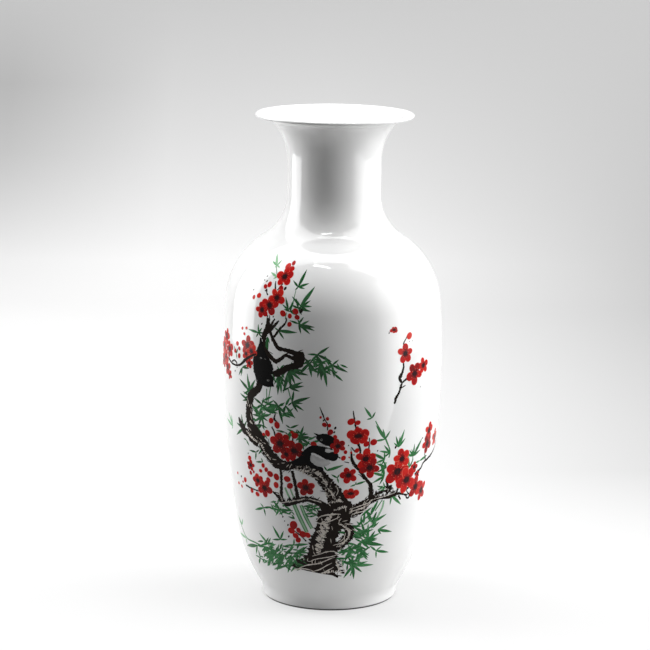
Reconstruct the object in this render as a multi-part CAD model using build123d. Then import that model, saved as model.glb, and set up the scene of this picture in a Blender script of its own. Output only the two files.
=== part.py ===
from build123d import *
import os
from collections import namedtuple
from math import acos, asin, atan2, cos, pi, radians, sin

# A glazed porcelain vase with a trumpet mouth, painted in enamels on its front.
# Millimetres and degrees, +Z up, origin on the ground under the middle of the foot, front towards -Y.

# Radii, from the neck outwards
neck_radius = 38.0
shoulder_width = 52.0
foot_taper = 34.2

# Heights, from the ground up
foot_band = 3.5
lower_rise = 201.0
upper_rise = 129.3
neck_length = 26.1
lute_thickness = 0.8

# Curves of the outer line: arcs that run into each other, and the leans where they meet
foot_cove_radius = 18.0
lower_turn_radius = 135.0
lower_slope = 32.0
crown_radius = 480.0
crown_angle = 5.25
neck_cove_radius = 40.0
throat_radius = 47.0
throat_angle = 35.0
lip_curl_radius = 20.0
lip_angle = 89.0

# Wall, floor and foot ring
clay_wall = 2.4
glaze_thickness = 0.3
floor_thickness = 6.0
recess_depth = 7.0
foot_ring_width = 7.0
foot_bevel = 1.2

# Enamel painting
enamel_thickness = 0.15
blossom_petals = 5
petal_notch = 0.22
leaf_width = 3.2
leaf_shares = (0.2, 0.4, 0.7)
bud_radius = 2.2
leaf_knot_radius = 1.0
points_round_petal = 6
points_round_dot = 8

belly_radius = neck_radius + shoulder_width
foot_radius = belly_radius - foot_taper
full_wall = clay_wall + 2 * glaze_thickness
inner_clay = glaze_thickness + clay_wall

# The outer line, foot to lip. A stretch swells out (bulge 1), is hollow (bulge -1) or straight (bulge 0).
# A lean is the angle of the surface's outward normal above the horizontal, in radians.
Stretch = namedtuple("Stretch", "name bulge radius start_lean end_lean start end centre")


def lower_belly_arc():
    """Radius and lean of the long arc that ends upright at the belly, given the tighter turn below it."""
    slope = radians(lower_slope)
    both = lower_turn_radius + foot_cove_radius
    across = foot_taper - both * (1 - cos(slope))
    up = lower_rise - both * sin(slope)
    lean = 2 * atan2(across, up)
    return lower_turn_radius + up / sin(lean), lean


def shoulder_arc():
    """Radius and top lean of the shoulder, tangent to the crown below it and to the neck's cove above."""
    crown = radians(crown_angle)
    across = shoulder_width - crown_radius * (1 - cos(crown))
    up = upper_rise - crown_radius * sin(crown)
    cove = neck_cove_radius
    spread = cove * (1 - cos(crown)) + across * cos(crown) - up * sin(crown)
    radius = (across**2 - 2 * cove * across + up**2) / (2 * spread)
    return radius, acos((radius * cos(crown) + cove - across) / (radius + cove))


def trace_outer_line():
    """Every stretch of the outer line, each starting where the last one ends."""
    belly_arc, belly_lean = lower_belly_arc()
    shoulder_radius, shoulder_lean = shoulder_arc()
    slope = radians(lower_slope)
    crown = radians(crown_angle)
    throat = radians(throat_angle)
    lip = radians(lip_angle)
    plan = [
        ("foot_band", 0, foot_band, 0, 0),
        ("foot_cove", -1, foot_cove_radius, 0, -slope),
        ("lower_turn", 1, lower_turn_radius, -slope, -belly_lean),
        ("lower_belly", 1, belly_arc, -belly_lean, 0),
        ("belly_lute", 0, lute_thickness, 0, 0),
        ("crown", 1, crown_radius, 0, crown),
        ("shoulder", 1, shoulder_radius, crown, shoulder_lean),
        ("neck_cove", -1, neck_cove_radius, shoulder_lean, 0),
        ("neck_lute", 0, lute_thickness, 0, 0),
        ("neck", 0, neck_length, 0, 0),
        ("throat", -1, throat_radius, 0, -throat),
        ("lip_curl", -1, lip_curl_radius, -throat, -lip),
    ]
    line = []
    radius, height = foot_radius, 0.0
    for name, bulge, size, start_lean, end_lean in plan:
        start = (radius, height)
        if bulge == 0:
            centre = start
            height += size
        else:
            centre = (radius - bulge * size * cos(start_lean), height - bulge * size * sin(start_lean))
            radius = centre[0] + bulge * size * cos(end_lean)
            height = centre[1] + bulge * size * sin(end_lean)
        line.append(Stretch(name, bulge, size, start_lean, end_lean, start, (radius, height), centre))
    return line


outer_line = trace_outer_line()
stretch_names = [stretch.name for stretch in outer_line]
neck_root = outer_line[stretch_names.index("neck_cove")].end[1]


def on_stretch(stretch, lean, inset):
    """The point of a curved stretch with this lean, moved in by inset."""
    reach = stretch.radius - stretch.bulge * inset
    return (
        stretch.centre[0] + stretch.bulge * reach * cos(lean),
        stretch.centre[1] + stretch.bulge * reach * sin(lean),
    )


def stretch_end(stretch, at_start, inset):
    """The start or the end of a stretch, moved in by inset."""
    point = stretch.start if at_start else stretch.end
    lean = stretch.start_lean if at_start else stretch.end_lean
    return (point[0] - inset * cos(lean), point[1] - inset * sin(lean))


def at_height(height, inset):
    """The stretch that crosses this height, its lean and its radius there, on the line moved in by inset."""
    for stretch in outer_line:
        low = stretch_end(stretch, True, inset)
        high = stretch_end(stretch, False, inset)
        if low[1] <= height <= high[1]:
            if stretch.bulge == 0:
                return stretch, 0.0, low[0]
            reach = stretch.bulge * (stretch.radius - stretch.bulge * inset)
            lean = asin((height - stretch.centre[1]) / reach)
            return stretch, lean, on_stretch(stretch, lean, inset)[0]
    raise ValueError(f"the vase has no wall at height {height}")


def in_section(point):
    """A radius and a height as a point of the section that is turned about the axis."""
    return (point[0], 0, point[1])


def line_edges(first, last, inset, from_height=None):
    """Edges from one named stretch to another, moved in by inset, from from_height up if that is given."""
    edges = []
    start_stretch = None
    if from_height is not None:
        start_stretch, start_lean, start_radius = at_height(from_height, inset)
        first = start_stretch.name
    chosen = outer_line[stretch_names.index(first) : stretch_names.index(last) + 1]
    for stretch in chosen:
        begin = stretch_end(stretch, True, inset)
        lean = stretch.start_lean
        if stretch is start_stretch:
            begin = (start_radius, from_height)
            lean = start_lean
        finish = stretch_end(stretch, False, inset)
        if stretch.bulge == 0:
            edges.append(Line(in_section(begin), in_section(finish)))
        else:
            middle = on_stretch(stretch, (lean + stretch.end_lean) / 2, inset)
            edges.append(ThreePointArc(in_section(begin), in_section(middle), in_section(finish)))
    return edges


def joined(*points):
    """Straight edges through the given points of the section."""
    return [Line(in_section(a), in_section(b)) for a, b in zip(points, points[1:])]


def first_point(edges):
    return (edges[0].start_point().X, edges[0].start_point().Z)


def last_point(edges):
    return (edges[-1].end_point().X, edges[-1].end_point().Z)


def turned(edges):
    """The solid that a closed section makes when it is turned about the vase's axis."""
    return revolve(make_face(edges), axis=Axis.Z)


def wall_ring(first, last):
    """A porcelain section between two named stretches, with flat faces above and below."""
    outside = line_edges(first, last, glaze_thickness)
    inside = line_edges(first, last, inner_clay)
    top = joined(last_point(outside), last_point(inside))
    bottom = joined(first_point(inside), first_point(outside))
    return turned(outside + top + inside + bottom)


# The rounded lip: half circles about the middle of the wall's end
lip_end = outer_line[-1]
lip_lean = lip_end.end_lean
lip_middle = stretch_end(lip_end, False, full_wall / 2)


def lip_round(inset):
    """The half circle round the lip, at this depth under the glaze."""
    reach = full_wall / 2 - inset
    crest = (lip_middle[0] - reach * sin(lip_lean), lip_middle[1] + reach * cos(lip_lean))
    return ThreePointArc(
        in_section(stretch_end(lip_end, False, inset)),
        in_section(crest),
        in_section(stretch_end(lip_end, False, full_wall - inset)),
    )


# Lower section: wall, floor and foot ring turned from one piece of clay
floor_top = recess_depth + floor_thickness
recess_radius = foot_radius - glaze_thickness - foot_ring_width


def make_lower_body():
    outside = line_edges("foot_cove", "lower_belly", glaze_thickness)
    inside = line_edges("foot_cove", "lower_belly", inner_clay, from_height=floor_top)
    top = joined(last_point(outside), last_point(inside))
    floor_and_foot = joined(
        first_point(inside),
        (0, floor_top),
        (0, recess_depth),
        (recess_radius, recess_depth),
        (recess_radius, 0),
        (foot_radius - glaze_thickness - foot_bevel, 0),
        first_point(outside),
    )
    return turned(outside + top + inside + floor_and_foot)


def make_neck_and_mouth():
    outside = line_edges("neck", "lip_curl", glaze_thickness)
    inside = line_edges("neck", "lip_curl", inner_clay)
    bottom = joined(first_point(inside), first_point(outside))
    return turned(outside + [lip_round(glaze_thickness)] + inside + bottom)


# Glaze coats
def make_outer_glaze():
    skin = line_edges("foot_cove", "lip_curl", 0)
    clay = line_edges("foot_cove", "lip_curl", glaze_thickness)
    inner_edge = joined(
        stretch_end(lip_end, False, full_wall), stretch_end(lip_end, False, inner_clay)
    )
    bottom = joined(first_point(clay), first_point(skin))
    return turned(skin + [lip_round(0)] + inner_edge + [lip_round(glaze_thickness)] + clay + bottom)


def make_inner_glaze():
    skin = line_edges("foot_cove", "lip_curl", full_wall, from_height=floor_top + glaze_thickness)
    clay = line_edges("foot_cove", "lip_curl", inner_clay, from_height=floor_top)
    top = joined(last_point(skin), last_point(clay))
    floor = joined(
        first_point(clay),
        (0, floor_top),
        (0, floor_top + glaze_thickness),
        first_point(skin),
    )
    return turned(skin + top + clay + floor)


def make_base_glaze():
    ceiling = recess_depth - glaze_thickness
    side = recess_radius - glaze_thickness
    corners = [
        (0, recess_depth),
        (recess_radius, recess_depth),
        (recess_radius, foot_band),
        (side, foot_band),
        (side, ceiling),
        (0, ceiling),
        (0, recess_depth),
    ]
    return turned(joined(*corners))


# Enamel painting. A place on the vase is a turn round from the front, in degrees, and a level, in
# hundredths of the way from the ground to the root of the neck. Strokes are lists of (turn, level, width).
bough_strokes = [
    [
        (-9, 11, 40), (-2, 16.5, 32), (2, 21.5, 28), (4, 27, 24), (3, 30.5, 17), (-5, 35.5, 12),
        (-16, 37.5, 10),
    ],
    [(-16, 37.5, 10), (-25, 38, 10), (-33, 39.5, 10), (-41, 42.5, 9), (-47, 46.5, 9), (-48, 50.5, 8)],
    [
        (-48, 50.5, 8), (-42, 54.5, 7), (-38, 58.5, 6), (-38, 64, 5), (-35, 70, 4), (-31, 75.5, 3),
        (-28, 82.5, 1.5),
    ],
    [(-38, 63, 4), (-28, 65, 5), (-14, 65.5, 6)],
    [(0, 29, 8), (-10, 31, 6), (-18, 29.5, 5), (-28, 28.5, 4), (-40, 30.5, 2), (-47, 33, 1.5)],
    [(8, 26.5, 10), (23, 28.5, 7), (34, 30, 5), (48, 30, 4), (60, 29, 2)],
    [(19, 28.5, 6), (25, 34, 5), (19, 39, 3.5), (13, 44, 2), (11, 48.5, 1.5)],
    [(30, 30, 4), (38, 34.5, 3), (40, 39.5, 1.5)],
    [(-33, 39.5, 5), (-28, 42.5, 3), (-30, 48, 1.5)],
    [(36, 53, 1.5), (39, 58, 3), (39, 62, 2.5), (43, 68, 1.5)],
]
# Blossoms: turn, level and radius
blossoms = [
    (-28.5, 83, 8), (-30.5, 78.5, 8), (-39.5, 74.5, 8), (-69, 63, 9), (-49, 64.5, 7), (-27, 43, 9),
    (-19, 41.5, 7), (-38, 31, 8), (-45, 32.5, 7), (-48, 36.5, 6), (-13, 32.5, 6), (0, 47, 7), (5, 43.5, 7),
    (14, 46, 7), (19, 40, 7), (21, 37.5, 6), (10, 36, 6), (11, 31.5, 6), (39, 39.5, 8), (40, 35.5, 7),
    (47, 33, 7), (54, 35.5, 6), (59, 29.5, 8), (67, 42.5, 7), (41, 64.5, 6), (48, 59.5, 6), (54, 61, 6),
]
# Buds: turn and level
buds = [
    (-25, 86.5), (-39.5, 80.5), (-44, 78), (-22, 74), (-18, 75.5), (-31, 48), (-36, 45), (-61, 31.5),
    (-24, 34), (-4.5, 50.5), (11, 49.5), (23, 44), (44, 68.5), (-21, 22), (-18, 20.5),
]
# Sprays of bamboo leaves: turn, level, leaf length, leaves, middle direction and spread of the fan
leaf_sprays = [
    (-2, 64.5, 17, 6, -80, 140), (-23, 60, 16, 5, -80, 120), (-20, 55, 18, 7, -95, 170),
    (-49, 57, 13, 4, -100, 110), (-17, 80.5, 14, 5, -60, 140), (-16, 73.5, 13, 4, -70, 130),
    (-25, 71, 12, 4, -100, 120), (21, 51.5, 16, 5, -60, 140), (33, 42, 17, 6, -90, 150),
    (51, 40.5, 14, 4, -80, 110), (26, 24.5, 18, 7, -70, 170), (20, 19.5, 18, 7, -75, 170),
    (19, 16, 16, 6, -85, 150), (-31, 18, 18, 7, -95, 180), (-41, 17.5, 15, 5, -110, 140),
    (-26, 13.5, 13, 5, -100, 150),
]
# Bamboo stalks, as strokes
stalk_strokes = [
    [(19, 14.5, 1.6), (24, 21, 1.6), (28, 25, 1.6)],
    [(-30, 13.5, 1.6), (-34, 18.5, 1.6), (-38, 21, 1.6)],
    [(20, 52, 1.4), (28, 45.5, 1.4), (34, 40.5, 1.4)],
]
# Magpies, each one stroke from tail to beak, and the white strokes of wing and belly
magpie_strokes = [
    [(-38, 69.5, 4), (-38.5, 66, 6), (-38, 62, 10), (-36.5, 59, 9), (-34, 57, 6)],
    [(-15, 39, 3), (-9, 40.5, 6), (-4, 42, 12), (-3, 44, 11), (-5, 45.5, 7), (-8, 46.5, 2)],
]
magpie_white_strokes = [
    [(-35.5, 62, 2), (-34.5, 60.5, 5), (-34, 59, 2)],
    [(-7, 40, 2), (-5, 39, 5), (-1, 40, 2)],
]


def front_point(turn, level, across=0.0, up=0.0):
    """Where a place on the glaze is seen from the front, a little across and up from a turn and a level."""
    height = level / 100 * neck_root + up
    girth = at_height(height, 0)[2]
    return (girth * sin(radians(turn) + across / girth), height)


def patch(points):
    """A flat patch with this outline, on the plane in front of the vase."""
    return make_face(Polyline(points, close=True))


def brush_stroke(stations):
    """A stroke through its stations, as wide at each as the brush was pressed."""
    left, right = [], []
    centres = [front_point(turn, level) for turn, level, _ in stations]
    last = len(stations) - 1
    for index, (turn, level, width) in enumerate(stations):
        before = centres[max(index - 1, 0)]
        after = centres[min(index + 1, last)]
        run = atan2(after[1] - before[1], after[0] - before[0])
        aside = (-sin(run) * width / 2, cos(run) * width / 2)
        left.append(front_point(turn, level, aside[0], aside[1]))
        right.append(front_point(turn, level, -aside[0], -aside[1]))
    return patch(left + right[::-1])


def petal_rosette(turn, level, radius):
    """A blossom seen from above: round petals about a middle."""
    outline = []
    steps = points_round_petal * blossom_petals
    for step in range(steps):
        angle = 2 * pi * step / steps
        reach = radius * (1 - petal_notch + petal_notch * cos(blossom_petals * angle))
        outline.append(front_point(turn, level, reach * sin(angle), reach * cos(angle)))
    return patch(outline)


def dot(turn, level, radius):
    """A round touch of the brush: a closed bud, or the knot that leaves hang from."""
    outline = []
    for step in range(points_round_dot):
        angle = 2 * pi * step / points_round_dot
        outline.append(front_point(turn, level, radius * sin(angle), radius * cos(angle)))
    return patch(outline)


def leaf(turn, level, length, direction):
    """A bamboo leaf: pointed at both ends and widest nearer its stalk."""
    run = radians(direction)
    sides = {1: [], -1: []}
    for side in sides:
        for share in leaf_shares:
            half = side * leaf_width / 2 * sin(pi * share)
            along = length * share
            across = along * cos(run) - half * sin(run)
            up = along * sin(run) + half * cos(run)
            sides[side].append(front_point(turn, level, across, up))
    tip = front_point(turn, level, length * cos(run), length * sin(run))
    return patch([front_point(turn, level)] + sides[1] + [tip] + sides[-1][::-1])


def leaf_spray(turn, level, length, count, middle, spread):
    """Leaves that hang in a fan from one knot of the stalk."""
    leaves = [
        leaf(turn, level, length, middle - spread / 2 + spread * index / (count - 1))
        for index in range(count)
    ]
    return leaves + [dot(turn, level, leaf_knot_radius)]


def painted(patches):
    """One flat sketch of all the patches of a colour."""
    return Sketch() + patches


def on_glaze(sketch, shell):
    """The enamel that a flat sketch makes when it is laid back onto the glaze, without its crumbs."""
    crumb = bud_radius**2 / 4
    solids = []
    for face in sketch.faces():
        if face.area > crumb:
            slab = extrude(Plane.XZ * face, amount=2 * belly_radius, dir=(0, -1, 0))
            solids += (slab & shell).solids()
    return Compound(children=solids)


def make_enamels():
    skin = line_edges("lower_turn", "neck_cove", 0)
    crust = line_edges("lower_turn", "neck_cove", -enamel_thickness)
    top = joined(last_point(skin), last_point(crust))
    bottom = joined(first_point(crust), first_point(skin))
    shell = turned(skin + top + crust + bottom)
    white = painted([brush_stroke(stroke) for stroke in magpie_white_strokes])
    black = painted([brush_stroke(stroke) for stroke in magpie_strokes]) - white
    birds = black + white
    open_blossoms = [petal_rosette(*place) for place in blossoms]
    closed_buds = [dot(*place, bud_radius) for place in buds]
    red = painted(open_blossoms + closed_buds) - birds
    bark = painted([brush_stroke(stroke) for stroke in bough_strokes]) - birds - red
    leaves = [one for spray in leaf_sprays for one in leaf_spray(*spray)]
    stalks = [brush_stroke(stroke) for stroke in stalk_strokes]
    green = painted(leaves + stalks) - birds - red - bark
    return {
        "bark_enamel": on_glaze(bark, shell),
        "blossom_enamel": on_glaze(red, shell),
        "bamboo_enamel": on_glaze(green, shell),
        "magpie_enamel": on_glaze(black, shell),
        "magpie_white_enamel": on_glaze(white, shell),
    }


nodes = {
    "lower_body": make_lower_body(),
    "belly_lute": wall_ring("belly_lute", "belly_lute"),
    "upper_body": wall_ring("crown", "neck_cove"),
    "neck_lute": wall_ring("neck_lute", "neck_lute"),
    "neck_and_mouth": make_neck_and_mouth(),
    "outer_glaze": make_outer_glaze(),
    "inner_glaze": make_inner_glaze(),
    "base_glaze": make_base_glaze(),
}
nodes.update(make_enamels())

os.makedirs("parts", exist_ok=True)
for name, solid in nodes.items():
    export_step(solid, f"parts/{name}.step")

lip_top = lip_middle[1] + full_wall / 2
print("height", round(lip_top, 2), "lip radius", round(lip_middle[0] + full_wall / 2, 2))
print("belly radius", belly_radius, "foot radius", round(foot_radius, 2))
for stretch in outer_line:
    print(stretch.name, "ends at radius", round(stretch.end[0], 2), "height", round(stretch.end[1], 2))
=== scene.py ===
import math
import random

import bpy
from mathutils import Matrix, Vector


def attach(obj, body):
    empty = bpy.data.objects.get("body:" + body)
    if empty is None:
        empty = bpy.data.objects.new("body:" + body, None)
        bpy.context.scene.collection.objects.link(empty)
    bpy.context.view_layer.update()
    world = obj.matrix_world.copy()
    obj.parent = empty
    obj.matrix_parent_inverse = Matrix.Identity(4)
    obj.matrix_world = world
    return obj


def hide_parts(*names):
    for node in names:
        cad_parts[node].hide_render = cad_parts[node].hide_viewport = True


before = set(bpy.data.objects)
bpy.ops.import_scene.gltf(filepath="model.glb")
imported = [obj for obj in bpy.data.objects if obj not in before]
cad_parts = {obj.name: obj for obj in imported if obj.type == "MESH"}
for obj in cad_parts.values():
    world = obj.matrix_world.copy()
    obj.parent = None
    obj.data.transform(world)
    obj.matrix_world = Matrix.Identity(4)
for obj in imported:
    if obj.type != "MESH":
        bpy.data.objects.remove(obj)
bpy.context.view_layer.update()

# Porcelain body: a lower section with its foot ring, an upper section and a neck with a trumpet mouth.
# Each is turned from white clay, the sections are joined with slip, and only the foot ring stays bare.
mm = 0.001


def feed(part, inputs):
    """Gives inputs of a material's part their values, or what other parts send out first."""
    for name, value in inputs.items():
        if isinstance(value, bpy.types.Node):
            value = value.outputs[0]
        if isinstance(value, bpy.types.NodeSocket):
            part.id_data.links.new(value, part.inputs[name])
        else:
            part.inputs[name].default_value = value
    return part


def ingredient(tree, kind, inputs, operation=None):
    """A new part of a material, fed with its inputs."""
    part = tree.nodes.new("ShaderNode" + kind)
    if operation:
        part.operation = operation
    return feed(part, inputs)


def mottling(tree, size, detail):
    """Soft blotches of a size all over the object."""
    place = ingredient(tree, "TexCoord", {}).outputs["Object"]
    return ingredient(tree, "TexNoise", {"Vector": place, "Scale": 1 / size, "Detail": detail})


def slide(source, start, end, start_value, end_value):
    """A value that slides from one to another while its source goes from start to end."""
    limits = {"From Min": start, "From Max": end, "To Min": start_value, "To Max": end_value}
    return ingredient(source.id_data, "MapRange", {"Value": source, **limits})


def tone_ramp(source, tones):
    """Colours picked by a source through pairs of a tone and its colour."""
    ramp = ingredient(source.id_data, "ValToRGB", {"Fac": source})
    for element, (tone, colour) in zip(ramp.color_ramp.elements, (tones[0], tones[-1])):
        element.position = tone
        element.color = (*colour, 1)
    for tone, colour in tones[1:-1]:
        ramp.color_ramp.elements.new(tone).color = (*colour, 1)
    return ramp


def bare_material(name):
    """A new material, with the tree of its parts and its plain surface."""
    material = bpy.data.materials.new(name)
    material.use_nodes = True
    return material, material.node_tree, material.node_tree.nodes["Principled BSDF"]


def shaded(name, dark, light, patch_size, roughness, grain_size, grain_depth):
    """A material that drifts between two shades in patches, with a fine grain on its surface."""
    dark_below, light_above = 0.3, 0.7
    patch_detail, grain_detail = 4, 2
    material, tree, surface = bare_material(name)
    patches = mottling(tree, patch_size, patch_detail)
    shades = tone_ramp(patches, [(dark_below, dark), (light_above, light)])
    grain = mottling(tree, grain_size, grain_detail)
    bump = ingredient(tree, "Bump", {"Height": grain, "Strength": 1, "Distance": grain_depth})
    feed(surface, {"Base Color": shades, "Roughness": roughness, "Normal": bump})
    return material


biscuit = shaded(
    "biscuit", dark=(0.78, 0.74, 0.68), light=(0.86, 0.83, 0.78), patch_size=12 * mm,
    roughness=0.75, grain_size=0.6 * mm, grain_depth=0.05 * mm,
)
# Painted contact shade: the bare clay's colour darkens towards the edge that the vase stands on
painted_shade_top, unshaded_above, painted_shade_darkest = 1.7 * mm, 2.7 * mm, 0.05
clay = biscuit.node_tree
clay_place = clay.nodes["Texture Coordinate"].outputs["Object"]
clay_height = ingredient(clay, "SeparateXYZ", {"Vector": clay_place}).outputs["Z"]
painted_contact_shade = slide(clay_height, painted_shade_top, unshaded_above, painted_shade_darkest, 1.0)
contact_shaded_colour = ingredient(clay, "VectorMath", {"Vector": clay.nodes["Color Ramp"], "Scale": painted_contact_shade}, "SCALE")
feed(clay.nodes["Principled BSDF"], {"Base Color": contact_shaded_colour})
for name in ("lower_body", "belly_lute", "upper_body", "neck_lute", "neck_and_mouth"):
    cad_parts[name].data.materials.clear()
    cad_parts[name].data.materials.append(biscuit)

# Clear glaze: a thin glossy coat over the outside and round the lip, another poured into the inside, and
# one brushed into the recess under the floor. Fired on, it makes the white clay below it shine.
foot_radius = 55.8
foot_bare = 3.5
wall = 3.0
glaze_thickness = 0.3
floor_level = 13.0
turning_steps, lip_steps, least_steps = 192, 14, 6
fine, coarse = 1.6, 6.0
# Stretches of the wall's outer line from the bare foot to the lip, lengths in mm and leans in degrees: bulge
# (1 swells, -1 is hollow, 0 is straight), arc radius or straight length, and the leans of its two ends
wall_line = [
    (-1, 18.0, 0.0, -32.0),
    (1, 135.0, -32.0, -10.4356),
    (1, 797.08, -10.4356, 0.0),
    (0, 0.8, 0.0, 0.0),
    (1, 480.0, 0.0, 5.25),
    (1, 68.7, 5.25, 57.4856),
    (-1, 40.0, 57.4856, 0.0),
    (0, 26.9, 0.0, 0.0),
    (-1, 47.0, 0.0, -35.0),
    (-1, 20.0, -35.0, -89.0),
]


def wall_arcs():
    """The stretches with their places: bulge, size, leans in radians, start and centre."""
    arcs = []
    radius, height = foot_radius, foot_bare
    for bulge, size, low, high in wall_line:
        low, high = math.radians(low), math.radians(high)
        centre = (radius - bulge * size * math.cos(low), height - bulge * size * math.sin(low))
        arcs.append((bulge, size, low, high, (radius, height), centre))
        if bulge == 0:
            height += size
        else:
            radius = centre[0] + bulge * size * math.cos(high)
            height = centre[1] + bulge * size * math.sin(high)
    return arcs


arcs = wall_arcs()


def wall_points(inset, spacing):
    """Radii and heights along the wall from the foot to the lip, moved in by inset."""
    points = []
    for bulge, size, low, high, start, centre in arcs:
        if bulge == 0:
            points.append((start[0] - inset, start[1]))
            continue
        reach = bulge * (size - bulge * inset)
        steps = max(least_steps, math.ceil(size * abs(high - low) / spacing))
        for step in range(steps):
            lean = low + (high - low) * step / steps
            points.append((centre[0] + reach * math.cos(lean), centre[1] + reach * math.sin(lean)))
    points.append((centre[0] + reach * math.cos(high), centre[1] + reach * math.sin(high)))
    return points


def above(points, level):
    """The part of a rising line that lies above a level, cut off at that level."""
    first = next(index for index, point in enumerate(points) if point[1] > level)
    low, high = points[first - 1], points[first]
    share = (level - low[1]) / (high[1] - low[1])
    return [(low[0] + share * (high[0] - low[0]), level)] + points[first:]


def lip_round(inset):
    """Points round the lip, from the outer face over the edge to the inner one."""
    lean = arcs[-1][3]
    outer = wall_points(0, wall)[-1]
    middle = (outer[0] - wall / 2 * math.cos(lean), outer[1] - wall / 2 * math.sin(lean))
    reach = wall / 2 - inset
    turns = [lean + math.pi * step / lip_steps for step in range(1, lip_steps)]
    return [(middle[0] + reach * math.cos(turn), middle[1] + reach * math.sin(turn)) for turn in turns]


def show_smooth(mesh):
    """Smooth shading that keeps the sharp edges of a coat."""
    sharp = math.radians(35)
    mesh.polygons.foreach_set("use_smooth", [True] * len(mesh.polygons))
    mesh.set_sharp_from_angle(angle=sharp)


def placed(name, data):
    """A new object that stands in the scene."""
    thing = bpy.data.objects.new(name, data)
    bpy.context.scene.collection.objects.link(thing)
    return thing


def glaze_coat(name, section, node):
    """A coat of glaze made by turning a closed section of radii and heights about the vase's axis."""
    places, rings, faces = [], [], []
    for radius, height in section:
        count = turning_steps if radius > 0 else 1
        rings.append(range(len(places), len(places) + count))
        for step in range(count):
            angle = 2 * math.pi * step / turning_steps
            places.append((radius * math.cos(angle) * mm, radius * math.sin(angle) * mm, height * mm))
    for here, there in zip(rings, rings[1:] + rings[:1]):
        for step in range(turning_steps):
            after = (step + 1) % turning_steps
            corners = [here[step % len(here)], here[after % len(here)]]
            corners += [there[after % len(there)], there[step % len(there)]]
            corners = list(dict.fromkeys(corners))
            if len(corners) > 2:
                faces.append(corners)
    mesh = bpy.data.meshes.new(name)
    mesh.from_pydata(places, [], faces)
    mesh.validate()
    show_smooth(mesh)
    mesh.materials.append(glaze)
    piece = placed(name, mesh)
    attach(piece, "root")
    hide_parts(node)


glaze = shaded(
    "glaze", dark=(0.84, 0.845, 0.845), light=(0.88, 0.88, 0.875), patch_size=60 * mm,
    roughness=0.035, grain_size=9 * mm, grain_depth=0.006 * mm,
)
feed(glaze.node_tree.nodes["Principled BSDF"], {"IOR": 1.52})

# Radii and heights of the rounded edge in which the coat ends on the foot
foot_edge = [(foot_radius - 0.5, 1.4), (foot_radius - 0.15, 1.7), (foot_radius, 2.1)]
foot_edge_back = (foot_radius - glaze_thickness, 1.8)
outer_skin = foot_edge + wall_points(0, fine) + lip_round(0) + [wall_points(wall, fine)[-1]]
outer_back = [wall_points(wall - glaze_thickness, fine)[-1]] + lip_round(glaze_thickness)[::-1]
outer_back += wall_points(glaze_thickness, coarse)[::-1] + [foot_edge_back]
glaze_coat("outer_coat", outer_skin + outer_back, "outer_glaze")

inner_back = above(wall_points(wall - glaze_thickness, coarse), floor_level)
inner_skin = above(wall_points(wall, fine), floor_level + glaze_thickness)
inner_floor = [(0, floor_level + glaze_thickness), (0, floor_level)]
glaze_coat("inner_coat", inner_back + inner_skin[::-1] + inner_floor, "inner_glaze")

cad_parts["base_glaze"].data.materials.clear()
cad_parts["base_glaze"].data.materials.append(glaze)

# Bamboo: leaves and stalks brushed on the glaze in green enamel and fired on, behind the plum tree. A place
# in the painting is a turn round from the front in degrees and a height in mm, and widths are in mm.
# A sheet's back is sunk into the glaze. Points stand closer along frayed strokes than along plain ones.
sunk = 0.05
plain_spacing, frayed_spacing = 1.8, 0.8
widest_column, finest_hair = 4, 0.12


def wall_at(height):
    """Radius and lean of the glaze's skin at a height below the neck's flare."""
    for bulge, size, low, high, start, centre in arcs:
        top = start[1] + size if bulge == 0 else centre[1] + bulge * size * math.sin(high)
        if height <= top:
            if bulge == 0:
                return start[0], 0.0
            lean = math.asin((height - centre[1]) / (bulge * size))
            return centre[0] + bulge * size * math.cos(lean), lean
    raise ValueError("the painting lies below the mouth")


def on_glaze(turn, height, lift):
    """A place on the glaze, lifted off it by a hair, in metres."""
    radius, lean = wall_at(height)
    angle = math.radians(turn)
    reach = radius + lift * math.cos(lean)
    up = height + lift * math.sin(lean)
    return (reach * math.sin(angle) * mm, -reach * math.cos(angle) * mm, up * mm)


def beside(turn, height, across, up):
    """The place a little across and up from another, in mm along the glaze."""
    girth = wall_at(height)[0]
    return turn + math.degrees(across / girth), height + up


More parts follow.
